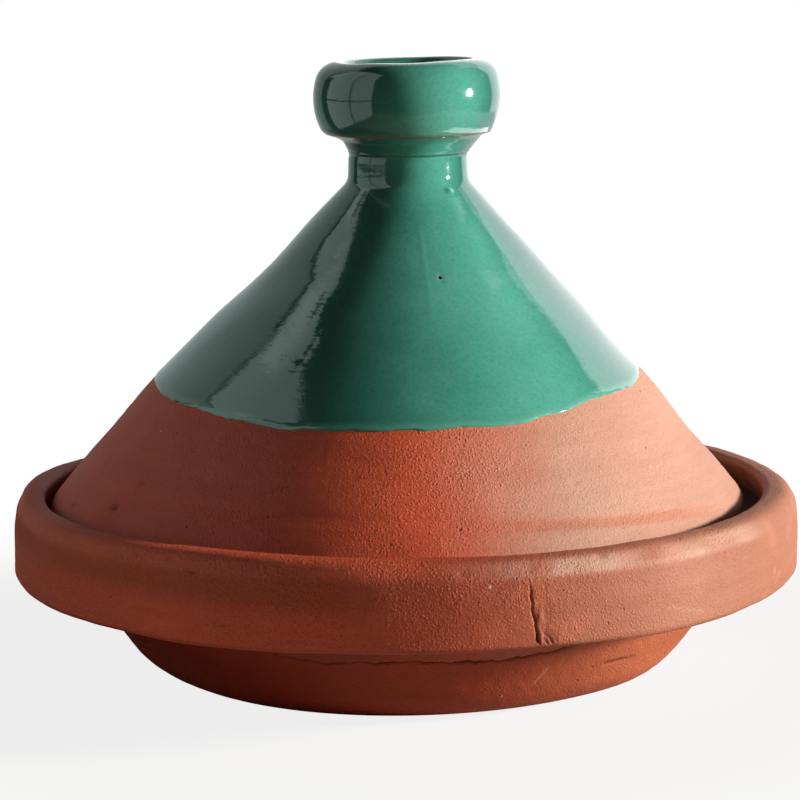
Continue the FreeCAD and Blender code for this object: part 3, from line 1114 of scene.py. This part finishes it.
# %% Clay roughness and height
dull = ramp(t, sums(t, "ADD", cloud, fine), 0.6, 1.4, 0.46, 0.64)
dull = sums(t, "MULTIPLY_ADD", given["Painted_shade"], 0.4, dull)
dull = sums(t, "MULTIPLY_ADD", given["Sheen_and_scratch"], -0.06, dull)
by_patch = ramp(t, patch, 0.35, 0.65, 0.55, 1.1)
by_flame = ramp(t, drift, 0.03, 0.08, 1.0, given["Grit"])
rough_here = sums(t, "MULTIPLY", by_patch, by_flame)
rough_here = sums(t, "MULTIPLY_ADD", given["Scraped_and_lit"], 0.7, rough_here)
grit = sums(t, "MULTIPLY_ADD", sand, 0.65, fine)
grit = sums(t, "MULTIPLY_ADD", coarse_sand, 0.6, grit)
grit = sums(t, "MULTIPLY", grit, rough_here)
hollows = sums(t, "MULTIPLY_ADD", pit, -1.6, sums(t, "MULTIPLY", streak, 0.25))
fill(t, put, {"Color": body, "Roughness": dull, "Height": sums(t, "ADD", grit, hollows)})
print("fired clay group of", len(t.nodes), "nodes")

# %% [markdown]
# The dish and the lid came from the same clay, but not in the same colours: the lid is paler
# with painted shade on its left, and the bowl is the darkest, painted shade for its place under
# the rim's overhang. In the gallery of the rim the clay is dark with painted shade, and dull. A
# speck of lime in the rim is pale, and the torn band on the skirt is redder than the skin beside it.

# %% Clay materials
def clay_material(name, red, pale, reach, left_shade, grit):
    material, tree, shader = new_material(name)
    sockets = {"Red": red, "Lit side colour": pale, "Lit side reach": reach, "Left shade": left_shade, "Grit": grit}
    for socket in ("Painted_shade", "Scraped_and_lit", "Sheen_and_scratch"):
        sockets[socket] = mark(tree, socket.lower())
    clay = placed(tree, clay_group, sockets)
    torn = mixed(tree, mark(tree, "torn"), clay["Color"], colour(0.84, 0.68, 0.6), "MULTIPLY")
    limed = mixed(tree, mark(tree, "lime"), torn, colour(0.78, 0.72, 0.66))
    # Painted shade in the rim's gallery, dark and dull.
    gallery_shade = sums(tree, "MULTIPLY", mark(tree, "gallery_shade"), 0.9)
    fill(tree, shader, {
        "Base Color": mixed(tree, gallery_shade, limed, shade_brown),
        "Roughness": mixed(tree, gallery_shade, clay["Roughness"], colour(0.85, 0.85, 0.85)),
        "Normal": bumped(tree, clay["Height"], 0.0003),
        "Specular IOR Level": 0.2,
    })
    return material


# The bowl's darker colours are painted shade for its place under the rim's overhang.
bowl_red, bowl_lit_side = colour(0.38, 0.05, 0.017), colour(0.53, 0.155, 0.074)
rim_red, rim_lit_side = colour(0.49, 0.087, 0.037), colour(0.52, 0.207, 0.12)
lid_red, lid_lit_side = colour(0.88, 0.152, 0.066), colour(0.69, 0.372, 0.266)
bowl_clay = clay_material("bowl clay", bowl_red, bowl_lit_side, reach=0.11, left_shade=0.5, grit=0.8)
rim_clay = clay_material("rim clay", rim_red, rim_lit_side, reach=0.12, left_shade=0.0, grit=0.85)
lid_clay = clay_material("lid clay", lid_red, lid_lit_side, reach=0.07, left_shade=0.85, grit=0.5)
dish_bowl.data.materials.append(bowl_clay)
dish_rim.data.materials.append(rim_clay)
for piece in (lid_cone, lid_coil, lid_knob):
    piece.data.materials.append(lid_clay)
print("clay on", [p.name for p in (dish_bowl, dish_rim, lid_cone, lid_coil, lid_knob)])

# %% [markdown]
# ## Glazes
# A glaze is glass melted on the clay. It levels itself, so its surface is smooth but faintly
# wavy over the throwing rings below, and that waviness is what makes reflected windows look
# ragged. Both glazes share this group: slow ripples, rings, and tiny specks.

# %% Glaze surface group
glass_group, given, put = new_group(
    "Glaze surface",
    [("Ripple", "Float", 1.0), ("Ring", "Float", 1.0)],
    [("Cloud", "Float"), ("Mottle", "Float"), ("Speck", "Float"), ("Height", "Float")],
)
t = glass_group
place = node(t, "TexCoord").outputs["Object"]
around = node(t, "Mapping", {"Vector": place, "Scale": (0.22, 0.22, 1.0)}).outputs[0]
ripple = noise(t, place, 55, 2, 0.5)
ring = noise(t, around, 210, 3, 0.6)
peel = noise(t, place, 420, 2, 0.5)
cell = node(t, "TexVoronoi", {"Vector": place, "Scale": 420}).outputs
lot = node(t, "SeparateColor", {"Color": cell["Color"]}).outputs
speck = sums(t, "MULTIPLY", ramp(t, cell["Distance"], 0.3, 0.12), ramp(t, lot[0], 0.88, 0.94))
height = sums(t, "MULTIPLY_ADD", ring, given["Ring"], sums(t, "MULTIPLY", ripple, given["Ripple"]))
fill(t, put, {
    "Cloud": noise(t, place, 26, 4, 0.6),
    "Mottle": noise(t, place, 850, 3, 0.65),
    "Speck": speck,
    "Height": sums(t, "MULTIPLY_ADD", peel, 0.08, height),
})
print("glaze surface group of", len(t.nodes), "nodes")

# %% [markdown]
# The green comes from copper. It is darker on the left and again at the far right, which is
# painted shade. It is paler in the bead along the dip line and in the runs, and brown where it
# drew back from the knob's sharp edge and lets the clay through. The mesh knows its edges, bead
# and runs, so it carries them as named values. A pinhole is a pale ring round a centre painted
# dark as shade.

# %% Green glaze colours
green, tree, shader = new_material("green glaze")
glass = placed(tree, glass_group, {"Ripple": 0.55, "Ring": 0.3})
left_shade_green = colour(0.036, 0.185, 0.138)
deep_green = colour(0.088, 0.405, 0.298)
light_green = colour(0.118, 0.46, 0.342)
on_coat = node(tree, "TexCoord").outputs["Object"]
spot = node(tree, "SeparateXYZ", {0: on_coat}).outputs
squared = sums(tree, "MULTIPLY_ADD", spot["X"], spot["X"], sums(tree, "MULTIPLY", spot["Y"], spot["Y"]))
from_axis = sums(tree, "MAXIMUM", sums(tree, "SQRT", squared), 0.001)
to_right = sums(tree, "DIVIDE", spot["X"], from_axis)
toward_right = sums(tree, "MULTIPLY_ADD", glass["Cloud"], 0.5, to_right)
paint = mixed(tree, ramp(tree, glass["Cloud"], 0.32, 0.7), deep_green, light_green)
# Painted shade: darker on the left of the coat, and at the far right.
paint = mixed(tree, ramp(tree, toward_right, 0.6, -0.2), paint, left_shade_green)
paint = mixed(tree, ramp(tree, to_right, 0.6, 1.0), paint, colour(0.028, 0.13, 0.105))
paint = mixed(tree, ramp(tree, glass["Mottle"], 0.6, 0.36), paint, colour(0.83, 0.9, 0.9), "MULTIPLY")
paint = tinted(tree, paint, glass["Speck"], 0.22, colour(0.012, 0.12, 0.08))
paint = tinted(tree, paint, mark(tree, "bead"), 0.5, colour(0.16, 0.5, 0.39))
paint = tinted(tree, paint, mark(tree, "run"), 0.28, colour(0.12, 0.46, 0.34))
cloudy = ramp(tree, glass["Cloud"], 0.25, 0.6, 0.35, 1.0)
bare_edge = sums(tree, "MULTIPLY", mark(tree, "thin"), cloudy)
paint = tinted(tree, paint, bare_edge, 0.75, colour(0.26, 0.12, 0.05))

# %% Green glaze
pinhole_r, halo_r = 0.0009, 0.0014  # metres
for place in pinhole_places:
    off = node(tree, "VectorMath", {0: on_coat, 1: tuple(place)}, operation="DISTANCE").outputs["Value"]
    paint = mixed(tree, ramp(tree, off, halo_r, pinhole_r, 0, 0.5), paint, colour(0.3, 0.55, 0.45))
    # Painted shade in the pinhole's dark centre.
    paint = mixed(tree, ramp(tree, off, pinhole_r, 0.0006), paint, colour(0.012, 0.01, 0.008))
fill(tree, shader, {
    "Base Color": paint,
    "Roughness": ramp(tree, glass["Cloud"], 0.3, 0.7, 0.05, 0.1),
    "Normal": bumped(tree, glass["Height"], 0.00022),
    "IOR": 1.6,
})
lid_glaze.data.materials.append(green)
print("green glaze with", len(pinhole_places), "pinholes")

# %% Honey lining
honey, tree, shader = new_material("honey lining")
glass = placed(tree, glass_group, {"Ripple": 1.0, "Ring": 0.3})
dark_honey, light_honey = colour(0.2, 0.062, 0.022), colour(0.36, 0.13, 0.05)
paint = mixed(tree, ramp(tree, glass["Cloud"], 0.3, 0.7), dark_honey, light_honey)
paint = tinted(tree, paint, glass["Speck"], 0.55, colour(0.06, 0.02, 0.01))
fill(tree, shader, {
    "Base Color": paint,
    "Roughness": ramp(tree, glass["Cloud"], 0.3, 0.7, 0.08, 0.16),
    "Normal": bumped(tree, glass["Height"], 0.0003),
    "IOR": 1.5,
})
dish_lining.data.materials.append(honey)
print("materials:", [m.name for m in bpy.data.materials if m.users])

# %% [markdown]
# ## The floor
# The pot stands on pale paper. Near the pot the paper takes a faint shadow; further off it
# turns to plain white, so that no edge or horizon shows. A large curved sheet under strong
# light would do, but it would also light the pot. Here Light Path makes the paper white to
# the camera, and in the glaze behind the pot. To every other ray it is matte, throws light
# back up under the rim, and is dim in the glaze in front.

# %% Floor sheet
floor_x, floor_y = (-0.32, 0.6), (-0.45, 0.75)
floor_corners = [(floor_x[i], floor_y[j], 0) for i, j in ((0, 0), (1, 0), (1, 1), (0, 1))]
floor_mesh = bpy.data.meshes.new("floor")
floor_mesh.from_pydata(floor_corners, [], [(0, 1, 2, 3)])
floor = bpy.data.objects.new("floor", floor_mesh)
bpy.context.scene.collection.objects.link(floor)
print("floor sheet", floor_x, "by", floor_y, "metres")

# %% Floor paper
white_beside_pot = 0.84  # share of plain white; the rest is the paper with its shadow
paper = bpy.data.materials.new("floor paper")
paper.use_nodes = True
tree = paper.node_tree
tree.nodes.clear()
spot = node(tree, "TexCoord").outputs["Object"]
away = node(tree, "VectorMath", {0: spot}, operation="LENGTH").outputs["Value"]
to_side = node(tree, "SeparateXYZ", {0: spot}).outputs
seen = node(tree, "LightPath").outputs
fade = ramp(tree, away, 0.16, 0.31, white_beside_pot, 1.0)
behind = ramp(tree, sums(tree, "MULTIPLY_ADD", to_side["X"], 0.3, to_side["Y"]), 0.1, 0.35)
in_gloss = sums(tree, "MULTIPLY", sums(tree, "MULTIPLY", seen["Is Glossy Ray"], fade), behind)
straight_on = sums(tree, "MAXIMUM", seen["Is Camera Ray"], seen["Is Transmission Ray"])
share = sums(tree, "MAXIMUM", sums(tree, "MULTIPLY", straight_on, fade), in_gloss)
paper_tint = mixed(tree, seen["Is Glossy Ray"], colour(0.76, 0.73, 0.7), colour(0.4, 0.4, 0.4))
matte = node(tree, "BsdfDiffuse", {"Color": paper_tint})
dimmed = ramp(tree, to_side["X"], -0.1, 0.25, -0.6, 0.0)
lit = sums(tree, "MULTIPLY_ADD", seen["Is Glossy Ray"], dimmed, 1.0)
white = node(tree, "Emission", {"Color": colour(1, 1, 1), "Strength": lit})
cover = node(tree, "MixShader", {0: share, 1: matte.outputs[0], 2: white.outputs[0]})
node(tree, "OutputMaterial", {"Surface": cover.outputs[0]})
floor.data.materials.append(paper)

# %% [markdown]
# ## The light
# A soft lamp, low on the right, models the clay: it grazes the front, so every grain shows
# there. Its glint is a second lamp, a little lower, that only makes reflections, so that the
# bright spots can be set without changing how the clay is lit. Light linking keeps that glint
# off the bowl, where it would shine in the cracks.

# %% Lamp helpers
def lamp_at(name, place, aim, power, tint, wide, tall=None):
    """Area lamp at a place, turned to a point: a disc, or a rectangle if it has a height."""
    light = bpy.data.lights.new(name, "AREA")
    light.shape = "DISK" if tall is None else "RECTANGLE"
    light.size = wide
    if tall is not None:
        light.size_y = tall
    light.energy = power
    light.color = tint
    holder = bpy.data.objects.new(name, light)
    turn = (Vector(aim) - Vector(place)).to_track_quat("-Z", "Y")
    holder.matrix_world = Matrix.Translation(place) @ turn.to_matrix().to_4x4()
    holder.visible_camera = False
    bpy.context.scene.collection.objects.link(holder)
    return holder


def direction(bearing, up=0.0):
    """Unit vector to a bearing, in degrees to the right of the camera's side."""
    b, e = math.radians(bearing), math.radians(up)
    return Vector((math.sin(b) * math.cos(e), -math.cos(b) * math.cos(e), math.sin(e)))


def only_on(lamp, name, pieces):
    """Lets a lamp light nothing but the pieces named."""
    group = bpy.data.collections.new(name)
    for piece in pieces:
        group.objects.link(piece)
    lamp.light_linking.receiver_collection = group
    return group


# %% Key lamp and its glint
pot_middle = Vector((0, 0, 0.1))
key_away, key_wide, key_level = 2.2, 0.28, 1.62
key_power = key_level * math.pi**2 * key_away**2
key_tint = (1.0, 0.99, 0.95)
key_place = pot_middle + direction(83, 13) * key_away
glint_place = pot_middle + direction(81, 4) * key_away
glint_wide = key_wide * 0.8
key = lamp_at("key lamp", key_place, pot_middle, key_power, key_tint, key_wide)
key.visible_glossy = False
glint = lamp_at("key glint", glint_place, pot_middle, key_power, key_tint, glint_wide)
glint.visible_diffuse = False
only_on(glint, "takes the key glint", (lid_glaze, lid_cone, dish_rim))

# %% [markdown]
# The left side has only the dim light of a tall window. Its panes are lamps that only show as
# reflections, and a weaker lamp of its own gives the window's light. A white wall behind on
# the right and a sunlit strip of the table's edge are mirrored in the green coat alone.

# %% Window panes and white wall
def panel(name, bearing, away, across, up, level, tint):
    """Upright glowing sheet on a plane at a bearing, from its edges across and up."""
    wide, tall = across[1] - across[0], up[1] - up[0]
    sideways = direction(bearing + 90)
    middle = direction(bearing) * away + sideways * sum(across) / 2 + Vector((0, 0, sum(up) / 2))
    power = level * math.pi * wide * tall
    return lamp_at(name, middle, middle - direction(bearing), power, tint, wide, tall)


window_bearing, window_away = -79, 1.25
pane_level, daylight_level, wall_level = 0.95, 0.5, 0.98
sky_tint, warm_tint, wall_tint = (0.84, 1.0, 0.98), (1.0, 0.84, 0.72), (0.98, 1.0, 1.0)
panes = [  # edges across and up, in metres on the window's plane
    ((-0.87, 0.06), (-1.3, 0.13)), ((0.11, 0.95), (-1.3, 0.13)),
    ((-0.87, 0.06), (0.17, 0.9)), ((0.11, 0.95), (0.17, 2.42)),
    ((-0.42, 0.06), (0.9, 2.42)), ((-0.85, -0.42), (0.9, 2.27)), ((-1.22, -0.85), (0.9, 2.08)),
]
for across, up in panes:
    pane = panel("window pane", window_bearing, window_away, across, up, pane_level, sky_tint)
    pane.visible_diffuse = False
sill = ((-0.9, 0.96), (-0.1, 0.8))
daylight = panel("window light", -88, window_away, *sill, daylight_level, warm_tint)
daylight.visible_glossy = False
wall = panel("white wall", 153, 1.6, (-0.9, 0.9), (-0.6, 1.35), wall_level, wall_tint)
wall.visible_diffuse = False
shines_on = only_on(wall, "shines on the glaze only", [lid_glaze])

# %% Sunlit edge of the table
table_edge = [Vector(corner) for corner in (
    (0.13, -0.125), (0.235, -0.075), (0.29, 0.03), (0.339, 0.42),
)]
table_wide, table_level, above_floor = 0.06, 3.4, Vector((0, 0, 0.002))
upwards = Vector((0, 0, 1))
for start, end in zip(table_edge, table_edge[1:]):
    along = end - start
    inward = Vector((-along.y, along.x)).normalized() * table_wide / 2
    place = ((start + end) / 2 + inward).to_3d() + above_floor
    power = table_level * math.pi * along.length * table_wide
    table = lamp_at("sunlit table", place, place + upwards, power, (1, 1, 1), along.length, table_wide)
    turned = Matrix.Rotation(math.atan2(along.y, along.x), 4, "Z")
    table.matrix_world = Matrix.Translation(place) @ turned @ Matrix.Rotation(math.pi, 4, "X")
    table.visible_diffuse = False
    table.light_linking.receiver_collection = shines_on

# %% [markdown]
# The rest of the room is the world. The camera sees white. A gloss sees the same white behind
# the pot, greyer towards the left, and a dim room in front and overhead.

# %% World
world = bpy.data.worlds.new("room")
world.use_nodes = True
bpy.context.scene.world = world
tree = world.node_tree
tree.nodes.clear()
way = node(tree, "SeparateXYZ", {0: node(tree, "TexCoord").outputs["Generated"]}).outputs
sideways = sums(tree, "MAXIMUM", sums(tree, "ABSOLUTE", way["X"]), 0.001)
up_there = sums(tree, "MAXIMUM", sums(tree, "SUBTRACT", way["Z"], 0.68), 0.0)
back_there = sums(tree, "MULTIPLY_ADD", up_there, 3.4, sums(tree, "DIVIDE", way["Y"], sideways))
behind = ramp(tree, back_there, 0.745, 0.8)
below_top = ramp(tree, way["Z"], 0.84, 0.76)
to_left = ramp(tree, way["X"], -0.75, -0.3, 0.42, 0.55)
to_right = sums(tree, "MAXIMUM", to_left, ramp(tree, way["X"], -0.2, 0.1))
glow = sums(tree, "MULTIPLY", sums(tree, "MULTIPLY", behind, below_top), to_right)
side_tint = mixed(tree, ramp(tree, way["X"], -0.3, 0.0), colour(0.82, 1.0, 0.97), colour(1, 1, 1))
room = mixed(tree, glow, colour(0.03, 0.032, 0.034), side_tint)
seen = node(tree, "LightPath").outputs
in_gloss = sums(tree, "MAXIMUM", seen["Is Glossy Ray"], seen["Is Transmission Ray"])
around = mixed(tree, in_gloss, colour(0.06, 0.048, 0.042), room)
backdrop = mixed(tree, seen["Is Camera Ray"], around, colour(1, 1, 1))
sky = node(tree, "Background", {"Color": backdrop, "Strength": 1.0})
node(tree, "OutputWorld", {"Surface": sky.outputs[0]})
print("world of", len(tree.nodes), "nodes")

# %% [markdown]
# ## Showing it
# The Standard view transform keeps colours as they were written.

# %% Finish
bpy.context.scene.view_settings.view_transform = "Standard"
